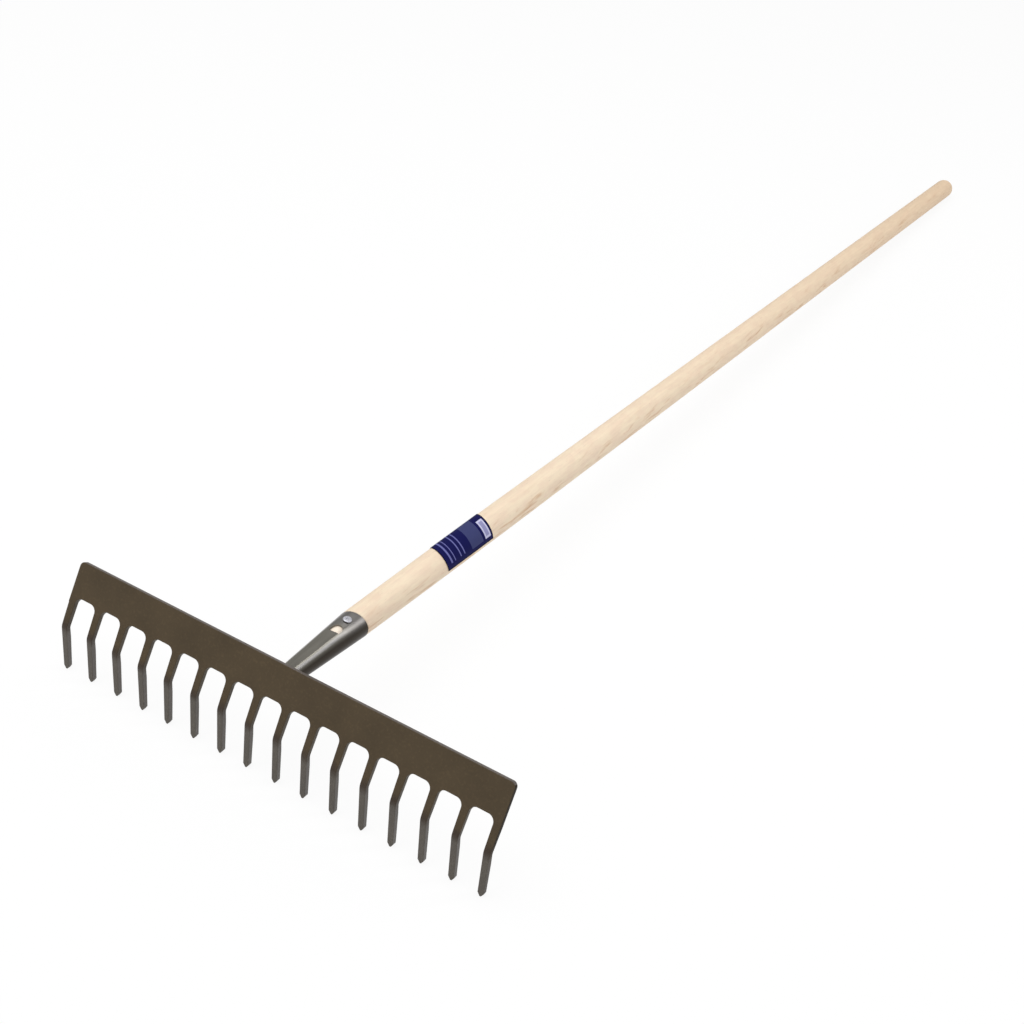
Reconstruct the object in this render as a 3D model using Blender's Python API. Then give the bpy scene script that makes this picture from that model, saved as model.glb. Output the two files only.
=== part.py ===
"""A garden rake: a stamped steel head bent across its teeth, a rolled steel socket welded to the
back of it, and a wooden handle that one screw holds in the socket.

Metres. +X runs along the head, +Y from the head to the far end of the handle, +Z is up. The tips
of the teeth and the far end of the handle stand on Z = 0. The origin is on that plane, in the
middle of the rake's length and width.
"""

import math

import bmesh
import bpy
from mathutils import Matrix, Vector

# Clearance kept between pieces that touch on the real rake
GAP = 0.0003

# Head: sheet steel, slotted into teeth, then bent once across all of them
SHEET = 0.0047
TOOTH_COUNT = 16
TOOTH_PITCH = 0.0278
TOOTH_ROOT_WIDTH = 0.0066
TOOTH_BEND_WIDTH = 0.0057
TOOTH_TIP_WIDTH = 0.0054
TOOTH_BELOW_BEND = 0.0439
TOOTH_ABOVE_BEND = 0.0278
PLATE_HEIGHT = 0.0297
PLATE_CORNER_RADIUS = 0.0044
SLOT_CORNER_RADIUS = 0.0060
SLOT_CORNER_STEPS = 4
TIP_HEIGHT = 0.0033
TIP_NOSE_WIDTH = 0.0012
EDGE_BREAK = 0.0006
TOOTH_LEAN = math.radians(1.25)
BEND_ANGLE = math.radians(27.2)
BEND_INNER_RADIUS = 0.0060
BEND_STEPS = 4

# Drawing the teeth out leaves them thickest a little below the bend and thinnest at the tip
SWELL_THICKNESS = 0.0050
SWELL_BELOW_BEND = 0.0090
TIP_THICKNESS = 0.0043

# Socket: a cone rolled from sheet, round at its mouth, whose edges meet in a ridge nearer its foot
SOCKET_LENGTH = 0.0910
SOCKET_MOUTH_RADIUS = 0.01305
SOCKET_FOOT_RADIUS = 0.0084
SOCKET_WALL = 0.0012
SOCKET_LIP = 0.0004
SOCKET_SLOPE = math.radians(1.0)
SOCKET_FOOT_BELOW_EDGE = 0.0133
SOCKET_SIDES = 48
MOUTH_SKEW = 0.0023
MOUTH_SKEW_AZIMUTH = math.radians(-70.0)
ROUND_DEPTH = 0.0180
RIDGE_DEPTH = 0.0290
RIDGE_AZIMUTH = math.radians(27.5)

# Section beside the ridge, over the round's radius: a flat on its left, a slack arc on its right
FLAT_AZIMUTH = math.radians(-6.0)
SLACK_RADIUS = 3.0
SLACK_END_AZIMUTH = math.radians(55.0)

# Drop-shaped hole that ends the ridge
DROP_DEPTH = 0.0234
DROP_AZIMUTH = math.radians(11.0)
DROP_RADIUS = 0.0042
DROP_POINT = 0.0061
DROP_TURN = math.radians(-47.0)
DROP_STEPS = 14

# Weld bead round the foot of the socket: a fillet whose face bulges
WELD_LEG = 0.0028
WELD_CROWN = 0.0005
WELD_CROWN_SPREAD = 1.3
WELD_STEPS = 36

# Screw through the socket into the handle
SCREW_DEPTH = 0.0118
SCREW_AZIMUTH = math.radians(7.7)
SCREW_HEAD_RADIUS = 0.0037
SCREW_HEAD_HEIGHT = 0.0014
SCREW_RIM_HEIGHT = 0.0006
SCREW_CROWN_STEPS = 3
SCREW_SHANK_RADIUS = 0.0017
SCREW_LENGTH = 0.0180
SCREW_POINT = 0.0040
SCREW_SIDES = 20

# Handle: turned wood, its end cut down to a cone that fills the socket
HANDLE_LENGTH = 1.5000
HANDLE_IN_SOCKET = 0.0590
HANDLE_NECK_RADIUS = 0.01285
HANDLE_SWELL_RADIUS = 0.01385
HANDLE_SWELL_AT = 0.2400
HANDLE_END_RADIUS = 0.01265
HANDLE_SHOULDER = 0.0009
HANDLE_NOSE = 0.0020
HANDLE_SIDES = 32
HANDLE_STATIONS = 14
DOME_STEPS = 6

# Paper label wrapped part of the way round the handle, its ends cut to a shallow bow
LABEL_START = 0.1144
LABEL_LENGTH = 0.0704
LABEL_FROM = math.radians(-76.0)
LABEL_TO = math.radians(93.0)
LABEL_BOW = 0.0036
LABEL_BOW_FROM = math.radians(42.0)
LABEL_BOW_SPAN = math.radians(60.0)
LABEL_THICKNESS = 0.0002
LABEL_STEPS = 20

FLAT_SHADE = math.radians(30.0)


def clear_scene():
    for item in list(bpy.data.objects):
        bpy.data.objects.remove(item, do_unlink=True)


def finish_material(name, colour, roughness, metallic):
    material = bpy.data.materials.new(name)
    material.use_nodes = True
    shader = material.node_tree.nodes["Principled BSDF"]
    shader.inputs["Base Color"].default_value = (*colour, 1.0)
    shader.inputs["Roughness"].default_value = roughness
    shader.inputs["Metallic"].default_value = metallic
    return material


def add_object(name, bm, material, parent):
    """Makes the bmesh an object under the parent, its faces outward, smooth but for its real edges."""
    bmesh.ops.recalc_face_normals(bm, faces=bm.faces)
    if bm.calc_volume(signed=True) < 0.0:
        bmesh.ops.reverse_faces(bm, faces=bm.faces)
    mesh = bpy.data.meshes.new(name)
    bm.to_mesh(mesh)
    bm.free()
    mesh.shade_smooth()
    mesh.set_sharp_from_angle(angle=FLAT_SHADE)
    piece = bpy.data.objects.new(name, mesh)
    bpy.context.scene.collection.objects.link(piece)
    piece.parent = parent
    if material is not None:
        mesh.materials.append(material)
    return piece


def cut(piece, cutter):
    """Cuts the helper's shape out of the piece, and keeps the helper out of the model."""
    cutter.hide_render = True
    cutter.display_type = "WIRE"
    boolean = piece.modifiers.new(cutter.name, "BOOLEAN")
    boolean.operation = "DIFFERENCE"
    boolean.solver = "EXACT"
    boolean.object = cutter


def arc(centre, radius, start, end, steps):
    """Points of a flat arc, its two ends among them."""
    turns = [start + (end - start) * step / steps for step in range(steps + 1)]
    return [(centre[0] + radius * math.cos(a), centre[1] + radius * math.sin(a)) for a in turns]


# The head's front face, as a line from the tip up, its bend a true arc

BEND_FRONT_RADIUS = BEND_INNER_RADIUS + SHEET
BEND_TANGENT = BEND_FRONT_RADIUS * math.tan(BEND_ANGLE / 2)
BEND_START = TOOTH_BELOW_BEND - BEND_TANGENT
BEND_END = BEND_START + BEND_FRONT_RADIUS * BEND_ANGLE
SLOT_TOP = BEND_END + TOOTH_ABOVE_BEND - BEND_TANGENT
PLATE_TOP = SLOT_TOP + PLATE_HEIGHT
PLATE_LEAN = TOOTH_LEAN + BEND_ANGLE
HALF_HEAD = (TOOTH_COUNT - 1) / 2 * TOOTH_PITCH + TOOTH_ROOT_WIDTH / 2


def up_along(lean):
    return Vector((0.0, math.sin(lean), math.cos(lean)))


def back_from(lean):
    return Vector((0.0, math.cos(lean), -math.sin(lean)))


# The lowest point of a leaning tooth is the back corner of its tip, so the head is lifted by that
TIP_LIFT = TIP_THICKNESS * math.sin(TOOTH_LEAN)


def on_head(x, along, through):
    """The place of a point of the flat blank once bent: along its front face, then through the sheet."""
    start = Vector((x, 0.0, TIP_LIFT))
    if along <= BEND_START:
        return start + along * up_along(TOOTH_LEAN) + through * back_from(TOOTH_LEAN)
    turned = min((along - BEND_START) / BEND_FRONT_RADIUS, BEND_ANGLE)
    lean = TOOTH_LEAN + turned
    centre = start + BEND_START * up_along(TOOTH_LEAN) + BEND_FRONT_RADIUS * back_from(TOOTH_LEAN)
    past_bend = max(along - BEND_END, 0.0)
    return centre + past_bend * up_along(lean) + (through - BEND_FRONT_RADIUS) * back_from(lean)


def sheet_thickness(along):
    """Thickness at a height on the blank: thin at the tip, swollen below the bend, plain above it."""
    swell_at = BEND_START - SWELL_BELOW_BEND
    if along <= swell_at:
        return TIP_THICKNESS + (SWELL_THICKNESS - TIP_THICKNESS) * along / swell_at
    if along <= BEND_START:
        return SWELL_THICKNESS + (SHEET - SWELL_THICKNESS) * (along - swell_at) / SWELL_BELOW_BEND
    return SHEET


def tooth_half_width(along):
    if along <= BEND_START:
        low, high, part = TOOTH_TIP_WIDTH, TOOTH_BEND_WIDTH, along / BEND_START
    else:
        low, high = TOOTH_BEND_WIDTH, TOOTH_ROOT_WIDTH
        part = min((along - BEND_START) / (SLOT_TOP - SLOT_CORNER_RADIUS - BEND_START), 1.0)
    return (low + (high - low) * part) / 2


def blank_outline():
    """The flat blank: down each tooth and up the next, then along the plate's top edge."""
    outline = []
    root = SLOT_TOP - SLOT_CORNER_RADIUS
    for tooth in range(TOOTH_COUNT):
        middle = (tooth - (TOOTH_COUNT - 1) / 2) * TOOTH_PITCH
        left = [(middle - tooth_half_width(along), along) for along in (root, BEND_START, TIP_HEIGHT)]
        right = [(middle + tooth_half_width(along), along) for along in (TIP_HEIGHT, BEND_START, root)]
        nose = [(middle - TIP_NOSE_WIDTH / 2, 0.0), (middle + TIP_NOSE_WIDTH / 2, 0.0)]
        outline += (left if tooth == 0 else left[1:]) + nose + right
        if tooth < TOOTH_COUNT - 1:
            reach = middle + TOOTH_ROOT_WIDTH / 2 + SLOT_CORNER_RADIUS
            outline += arc((reach, root), SLOT_CORNER_RADIUS, math.pi, math.pi / 2, SLOT_CORNER_STEPS)[1:]
            reach = middle + TOOTH_PITCH - TOOTH_ROOT_WIDTH / 2 - SLOT_CORNER_RADIUS
            outline += arc((reach, root), SLOT_CORNER_RADIUS, math.pi / 2, 0.0, SLOT_CORNER_STEPS)
    corner = HALF_HEAD - PLATE_CORNER_RADIUS
    top = PLATE_TOP - PLATE_CORNER_RADIUS
    outline += arc((corner, top), PLATE_CORNER_RADIUS, 0.0, math.pi / 2, 4)
    outline += arc((-corner, top), PLATE_CORNER_RADIUS, math.pi / 2, math.pi, 4)
    return outline


def rake_head(material, parent):
    """Cuts the blank flat, breaks its edges, then bends it."""
    bm = bmesh.new()
    front = bm.faces.new([bm.verts.new((x, along, 0.0)) for x, along in blank_outline()])
    raised = bmesh.ops.extrude_face_region(bm, geom=[front])["geom"]
    back = [item for item in raised if isinstance(item, bmesh.types.BMVert)]
    bmesh.ops.translate(bm, verts=back, vec=(0.0, 0.0, SHEET))
    rims = [edge for edge in bm.edges if abs(edge.verts[0].co.z - edge.verts[1].co.z) < GAP]
    bmesh.ops.bevel(bm, geom=rims, offset=EDGE_BREAK, segments=1, profile=0.5, affect="EDGES", material=-1)
    rows = [BEND_START + (BEND_END - BEND_START) * step / BEND_STEPS for step in range(BEND_STEPS + 1)]
    rows += [BEND_START - SWELL_BELOW_BEND]
    for row in rows:
        everything = bm.verts[:] + bm.edges[:] + bm.faces[:]
        bmesh.ops.bisect_plane(bm, geom=everything, plane_co=(0.0, row, 0.0), plane_no=(0.0, 1.0, 0.0))
    for vert in bm.verts:
        x, along, through = vert.co
        vert.co = on_head(x, along, through * sheet_thickness(along) / SHEET)
    return add_object("rake_head", bm, material, parent)


# The socket's own frame: its origin at the mouth, Z out along the handle, Y up

PLATE_BACK = on_head(0.0, PLATE_TOP - SOCKET_FOOT_BELOW_EDGE, SHEET)
SOCKET_OUT = Vector((0.0, math.cos(SOCKET_SLOPE), -math.sin(SOCKET_SLOPE)))
SOCKET_MOUTH = PLATE_BACK + SOCKET_LENGTH * SOCKET_OUT
SOCKET_FRAME = Matrix.Translation(SOCKET_MOUTH) @ Matrix.Rotation(-math.pi / 2 - SOCKET_SLOPE, 4, "X")
FOOT_RING = SOCKET_LENGTH + 2 * SOCKET_FOOT_RADIUS


def cone_radius(depth):
    return SOCKET_MOUTH_RADIUS - (SOCKET_MOUTH_RADIUS - SOCKET_FOOT_RADIUS) * depth / SOCKET_LENGTH


def slack_arc(azimuth):
    """Radius over the round's on the arc that runs from the ridge into the round."""
    off = azimuth - SLACK_END_AZIMUTH
    centre = SLACK_RADIUS - 1.0
    return math.sqrt(SLACK_RADIUS**2 - (centre * math.sin(off)) ** 2) - centre * math.cos(off)


FLAT_DISTANCE = slack_arc(RIDGE_AZIMUTH) * math.cos(RIDGE_AZIMUTH - FLAT_AZIMUTH)


def ridged(azimuth):
    """Radius over the round's: the flat, the ridge and the slack arc, and 1 elsewhere."""
    if RIDGE_AZIMUTH <= azimuth <= SLACK_END_AZIMUTH:
        return slack_arc(azimuth)
    off = azimuth - FLAT_AZIMUTH
    if azimuth < RIDGE_AZIMUTH and off > -math.acos(FLAT_DISTANCE):
        return FLAT_DISTANCE / math.cos(off)
    return 1.0


def socket_radius(azimuth, depth):
    """Outer radius: round near the mouth, then pressed to the ridged section."""
    pressed = min(max((depth - ROUND_DEPTH) / (RIDGE_DEPTH - ROUND_DEPTH), 0.0), 1.0)
    return cone_radius(depth) * (1.0 + pressed * (ridged(azimuth) - 1.0))


def mouth_depth(azimuth):
    """Depth of the mouth's edge, which is cut a little askew."""
    return MOUTH_SKEW * math.cos(azimuth - MOUTH_SKEW_AZIMUTH)


def in_socket(azimuth, radius, depth):
    """A point by its turn from the top towards +X, its radius, and its depth below the mouth."""
    return Vector((radius * math.sin(azimuth), -radius * math.cos(azimuth), -depth))


def plate_height(point):
    """How far a point of the socket's frame is behind the plate's back face."""
    return (SOCKET_FRAME @ point - PLATE_BACK).dot(back_from(PLATE_LEAN))


def foot_point(azimuth, outward, height):
    """Where the socket's wall, moved outward, is at a height behind the plate's back face."""
    upper = in_socket(azimuth, socket_radius(azimuth, RIDGE_DEPTH) + outward, RIDGE_DEPTH)
    lower = in_socket(azimuth, socket_radius(azimuth, FOOT_RING) + outward, FOOT_RING)
    part = (plate_height(upper) - height) / (plate_height(upper) - plate_height(lower))
    return upper.lerp(lower, part)


def bridge_rings(bm, rings):
    """Joins each ring of points to the next, and the last to the first."""
    loops = [[bm.verts.new(point) for point in ring] for ring in rings]
    for ring, following in zip(loops, loops[1:] + loops[:1]):
        for side in range(len(ring)):
            after = (side + 1) % len(ring)
            bm.faces.new((ring[side], ring[after], following[after], following[side]))


def turns_round(steps):
    """Even turns once round, one of them on the ridge."""
    return [RIDGE_AZIMUTH + 2 * math.pi * (step - steps // 2) / steps for step in range(steps)]


def wall_ring(inward, depth):
    """One ring of the socket's wall, a size inside its outer face."""
    turns = turns_round(SOCKET_SIDES)
    return [in_socket(turn, socket_radius(turn, depth) - inward, depth) for turn in turns]


def mouth_ring(inward, below):
    """One ring of the wall, a size below the mouth's edge."""
    points = []
    for turn in turns_round(SOCKET_SIDES):
        depth = mouth_depth(turn) + below
        points.append(in_socket(turn, socket_radius(turn, depth) - inward, depth))
    return points


def foot_ring(inward):
    """The wall's end, cut to the plate and just clear of it."""
    return [foot_point(turn, -inward, GAP) for turn in turns_round(SOCKET_SIDES)]


def socket(material, parent):
    bm = bmesh.new()
    outer = [mouth_ring(SOCKET_LIP, 0.0), mouth_ring(0.0, SOCKET_LIP)]
    outer += [wall_ring(0.0, ROUND_DEPTH), wall_ring(0.0, RIDGE_DEPTH), foot_ring(0.0)]
    inner = [foot_ring(SOCKET_WALL), wall_ring(SOCKET_WALL, RIDGE_DEPTH), wall_ring(SOCKET_WALL, ROUND_DEPTH)]
    inner.append(mouth_ring(SOCKET_WALL, 0.0))
    bridge_rings(bm, outer + inner)
    piece = add_object("socket", bm, material, parent)
    piece.matrix_local = SOCKET_FRAME
    cut(piece, drop_cutter(parent))
    cut(piece, screw_hole("socket_screw_hole", parent))
    return piece


def radial_frame(azimuth, depth):
    """A frame on the socket's outer face: Z outward, Y towards the mouth."""
    place = Matrix.Translation(in_socket(azimuth, socket_radius(azimuth, depth), depth))
    turn = Matrix.Rotation(azimuth, 4, "Z") @ Matrix.Rotation(math.pi / 2, 4, "X")
    return SOCKET_FRAME @ place @ turn


def extruded(outline, low, high):
    bm = bmesh.new()
    base = bm.faces.new([bm.verts.new((x, y, low)) for x, y in outline])
    raised = bmesh.ops.extrude_face_region(bm, geom=[base])["geom"]
    top = [item for item in raised if isinstance(item, bmesh.types.BMVert)]
    bmesh.ops.translate(bm, verts=top, vec=(0.0, 0.0, high - low))
    return bm


def drop_cutter(parent):
    """A round hole drawn out to a point towards the foot."""
    half = math.acos(DROP_RADIUS / DROP_POINT)
    outline = arc((0.0, 0.0), DROP_RADIUS, half - math.pi / 2, 1.5 * math.pi - half, DROP_STEPS)
    outline.append((0.0, -DROP_POINT))
    cutter = add_object("drop_cutter", extruded(outline, -3 * SOCKET_WALL, 3 * SOCKET_WALL), None, parent)
    cutter.matrix_local = radial_frame(DROP_AZIMUTH, DROP_DEPTH) @ Matrix.Rotation(DROP_TURN, 4, "Z")
    return cutter


def screw_hole(name, parent):
    """The screw's clearance hole, from above the socket to past the screw's point."""
    radius = SCREW_SHANK_RADIUS + GAP
    outline = arc((0.0, 0.0), radius, 0.0, 2 * math.pi, SCREW_SIDES)[:-1]
    cutter = add_object(name, extruded(outline, -SCREW_LENGTH - GAP, SCREW_HEAD_HEIGHT), None, parent)
    cutter.matrix_local = radial_frame(SCREW_AZIMUTH, SCREW_DEPTH)
    return cutter


def turned(profile, sides):
    """Spins a profile of radius and height about Z, its two ends on the axis."""
    bm = bmesh.new()
    verts = [bm.verts.new((radius, 0.0, height)) for radius, height in profile]
    edges = [bm.edges.new(pair) for pair in zip(verts, verts[1:])]
    bmesh.ops.spin(
        bm,
        geom=verts + edges,
        cent=(0.0, 0.0, 0.0),
        axis=(0.0, 0.0, 1.0),
        angle=2 * math.pi,
        steps=sides,
        use_merge=True,
    )
    bmesh.ops.remove_doubles(bm, verts=bm.verts, dist=1e-6)
    return bm


def handle_screw(material, parent):
    """A pan head that sits just clear of the socket, its shank run to a point in the wood."""
    profile = [(0.0, -SCREW_LENGTH)]
    profile += [(SCREW_SHANK_RADIUS, SCREW_POINT - SCREW_LENGTH), (SCREW_SHANK_RADIUS, GAP)]
    profile.append((SCREW_HEAD_RADIUS, GAP))
    crown = SCREW_HEAD_HEIGHT - SCREW_RIM_HEIGHT
    flat = SCREW_HEAD_RADIUS - crown
    profile += arc((flat, SCREW_RIM_HEIGHT), crown, 0.0, math.pi / 2, SCREW_CROWN_STEPS)
    profile.append((0.0, SCREW_HEAD_HEIGHT))
    piece = add_object("handle_screw", turned(profile, SCREW_SIDES), material, parent)
    piece.matrix_local = radial_frame(SCREW_AZIMUTH, SCREW_DEPTH)
    return piece


def socket_weld(material, parent):
    """A fillet between the socket's wall and the plate, its face slightly crowned."""
    sections = []
    for azimuth in turns_round(WELD_STEPS):
        root = foot_point(azimuth, GAP, GAP)
        on_wall = foot_point(azimuth, GAP, GAP + WELD_LEG)
        spread = foot_point(azimuth, GAP + WELD_LEG, GAP)
        on_plate = root + WELD_LEG * (spread - root).normalized()
        middle = (on_wall + on_plate) / 2
        crown = middle + WELD_CROWN_SPREAD * WELD_CROWN * (middle - root).normalized()
        near_wall = (crown + on_wall) / 2
        near_plate = (crown + on_plate) / 2
        sections.append((root, on_wall, near_wall, near_plate, on_plate))
    bm = bmesh.new()
    bridge_rings(bm, list(zip(*sections)))
    piece = add_object("socket_weld", bm, material, parent)
    piece.matrix_local = SOCKET_FRAME
    return piece


# The handle's own frame: its origin at the socket's mouth, Z out to the far end, which rests on the ground

HANDLE_OUTSIDE = HANDLE_LENGTH - HANDLE_IN_SOCKET
HANDLE_DROP = SOCKET_MOUTH.z - HANDLE_END_RADIUS
HANDLE_SLOPE = math.asin(HANDLE_DROP / (HANDLE_OUTSIDE - HANDLE_END_RADIUS))
HANDLE_FRAME = Matrix.Translation(SOCKET_MOUTH) @ Matrix.Rotation(-math.pi / 2 - HANDLE_SLOPE, 4, "X")


def handle_radius(along):
    """Radius at a distance from the mouth: it swells from the neck, then tapers to the far end."""
    if along < HANDLE_SWELL_AT:
        ease = math.sin(math.pi / 2 * along / HANDLE_SWELL_AT)
        return HANDLE_NECK_RADIUS + (HANDLE_SWELL_RADIUS - HANDLE_NECK_RADIUS) * ease
    part = (along - HANDLE_SWELL_AT) / (HANDLE_OUTSIDE - HANDLE_END_RADIUS - HANDLE_SWELL_AT)
    return HANDLE_SWELL_RADIUS + (HANDLE_END_RADIUS - HANDLE_SWELL_RADIUS) * part


def tenon_radius(depth):
    """Radius in the socket: its wall's inner face at its closest, less the clearance."""
    return socket_radius(FLAT_AZIMUTH, depth) - SOCKET_WALL - GAP


def handle(material, parent):
    nose = HANDLE_IN_SOCKET - HANDLE_NOSE
    profile = [(0.0, -HANDLE_IN_SOCKET), (tenon_radius(HANDLE_IN_SOCKET) - HANDLE_NOSE, -HANDLE_IN_SOCKET)]
    profile += [(tenon_radius(depth), -depth) for depth in (nose, RIDGE_DEPTH, ROUND_DEPTH)]
    profile += [(tenon_radius(MOUTH_SKEW), 0.0), (tenon_radius(MOUTH_SKEW), GAP)]
    profile.append((HANDLE_NECK_RADIUS - HANDLE_SHOULDER, GAP))
    reach = HANDLE_OUTSIDE - HANDLE_END_RADIUS
    start = GAP + HANDLE_SHOULDER
    stations = [start + (reach - start) * step / HANDLE_STATIONS for step in range(HANDLE_STATIONS)]
    profile += [(handle_radius(along), along) for along in stations]
    for step in range(DOME_STEPS):
        turn = math.pi / 2 * step / DOME_STEPS
        profile.append((HANDLE_END_RADIUS * math.cos(turn), reach + HANDLE_END_RADIUS * math.sin(turn)))
    profile.append((0.0, HANDLE_OUTSIDE))
    bm = turned(profile, HANDLE_SIDES)
    tenon = [vert for vert in bm.verts if vert.co.z < GAP + HANDLE_SHOULDER / 2]
    # The shoulder is cut as askew as the mouth
    for vert in bm.verts:
        if abs(vert.co.z) < start + GAP:
            vert.co.z -= mouth_depth(math.atan2(vert.co.x, -vert.co.y))
    # The cone and the shoulder follow the socket, whose slope differs a little from the handle's
    droop = Matrix.Rotation(HANDLE_SLOPE - SOCKET_SLOPE, 4, "X")
    bmesh.ops.transform(bm, matrix=droop, verts=tenon)
    piece = add_object("handle", bm, material, parent)
    piece.matrix_local = HANDLE_FRAME
    cut(piece, screw_hole("handle_screw_hole", parent))
    return piece


def handle_label(material, parent):
    """A sheet of paper wrapped part of the way round the handle, with bowed ends."""
    bm = bmesh.new()
    bmesh.ops.create_grid(bm, x_segments=LABEL_STEPS, y_segments=2, size=0.5)
    for vert in bm.verts:
        azimuth = LABEL_FROM + (LABEL_TO - LABEL_FROM) * (vert.co.x + 0.5)
        bow = LABEL_BOW * ((azimuth - LABEL_BOW_FROM) / LABEL_BOW_SPAN) ** 2
        along = LABEL_START + LABEL_LENGTH * (vert.co.y + 0.5) + bow
        radius = handle_radius(along) + GAP
        vert.co = in_socket(azimuth, radius, -along)
    sheet = bm.faces[:]
    bmesh.ops.recalc_face_normals(bm, faces=sheet)
    bmesh.ops.solidify(bm, geom=sheet, thickness=LABEL_THICKNESS)
    piece = add_object("handle_label", bm, material, parent)
    piece.matrix_local = HANDLE_FRAME
    return piece


def main():
    clear_scene()
    front = 0.0
    back = (HANDLE_FRAME @ Vector((0.0, 0.0, HANDLE_OUTSIDE))).y
    ground = bpy.data.objects.new("ground_centre", None)
    bpy.context.scene.collection.objects.link(ground)
    ground.location = (0.0, -(front + back) / 2, 0.0)
    lacquer = finish_material("olive_brown_lacquer", (0.062, 0.052, 0.036), 0.42, 0.0)
    socket_steel = finish_material("lacquered_grey_steel", (0.115, 0.118, 0.100), 0.35, 0.6)
    bead = finish_material("lacquered_weld", (0.130, 0.120, 0.105), 0.45, 0.5)
    zinc = finish_material("zinc_plated_steel", (0.58, 0.58, 0.64), 0.30, 1.0)
    wood = finish_material("planed_hardwood", (0.79, 0.66, 0.49), 0.60, 0.0)
    paper = finish_material("navy_paper", (0.007, 0.007, 0.078), 0.40, 0.0)
    rake_head(lacquer, ground)
    socket(socket_steel, ground)
    socket_weld(bead, ground)
    handle_screw(zinc, ground)
    handle(wood, ground)
    handle_label(paper, ground)


if __name__ == "__main__":
    main()
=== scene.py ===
"""Finished pieces for a garden rake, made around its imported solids, and a plain studio to see them in.

Metres. +X runs along the head, +Y from the head to the far end of the handle, +Z is up, and the tips
of the teeth and the far end of the handle stand on Z = 0.
"""

from functools import partial
from math import acos, asin, atan2, cos, exp, inf, log, pi, radians, sin, sqrt, tan

import bmesh
import bpy
from bmesh.types import BMEdge, BMVert
from bpy.props import FloatProperty, FloatVectorProperty, IntProperty, PointerProperty
from bpy.types import Node, NodeSocket, Operator, Panel, PropertyGroup
from mathutils import Matrix, Vector


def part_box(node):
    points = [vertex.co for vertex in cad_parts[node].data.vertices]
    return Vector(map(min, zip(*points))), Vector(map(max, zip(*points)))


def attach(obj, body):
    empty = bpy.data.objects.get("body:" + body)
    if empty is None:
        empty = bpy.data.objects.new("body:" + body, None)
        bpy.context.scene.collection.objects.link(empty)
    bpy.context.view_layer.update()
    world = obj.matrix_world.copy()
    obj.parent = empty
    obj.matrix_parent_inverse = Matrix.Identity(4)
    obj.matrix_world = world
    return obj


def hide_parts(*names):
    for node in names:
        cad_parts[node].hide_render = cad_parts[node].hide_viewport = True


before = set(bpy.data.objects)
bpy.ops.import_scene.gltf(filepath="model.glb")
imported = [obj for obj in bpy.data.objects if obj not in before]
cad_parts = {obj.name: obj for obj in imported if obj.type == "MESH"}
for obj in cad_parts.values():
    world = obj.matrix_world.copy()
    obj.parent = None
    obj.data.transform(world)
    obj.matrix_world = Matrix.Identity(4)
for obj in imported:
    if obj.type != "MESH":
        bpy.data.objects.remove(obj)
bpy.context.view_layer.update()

bl_info = {
    "name": "Garden rake",
    "version": (1, 0, 0),
    "blender": (4, 5, 0),
    "location": "3D View > Sidebar > Rake",
    "description": "Makes the finished pieces of a garden rake and a plain studio",
    "category": "Add Mesh",
}

MM = 0.001
# Clearance between pieces that touch, and how near to a place a point counts as there
GAP = 0.0003
SHARP_EDGE = radians(35.0)
FRONT_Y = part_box("rake_head")[0].y
# Nearly all of a noise's values lie between these
NOISE_SPAN = (0.3, 0.7)
SMOOTH = {"interpolation_type": "SMOOTHSTEP"}


def linear(code):
    """An sRGB hex colour as the linear red, green and blue that a shader takes."""
    shares = [int(code[place : place + 2], 16) / 255 for place in (0, 2, 4)]
    return tuple(s / 12.92 if s <= 0.04045 else ((s + 0.055) / 1.055) ** 2.4 for s in shares)


def setting(name, description, default, kind=FloatProperty, **more):
    return kind(name=name, description=description, default=default, **more)


def size(name, description, default):
    return setting(name, description, default, unit="LENGTH", precision=5)


def angle(name, description, degrees):
    return setting(name, description, radians(degrees), subtype="ANGLE")


def colour(name, description, code):
    shares = {"subtype": "COLOR", "min": 0.0, "max": 1.0}
    return setting(name, description, linear(code), FloatVectorProperty, **shares)


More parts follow.
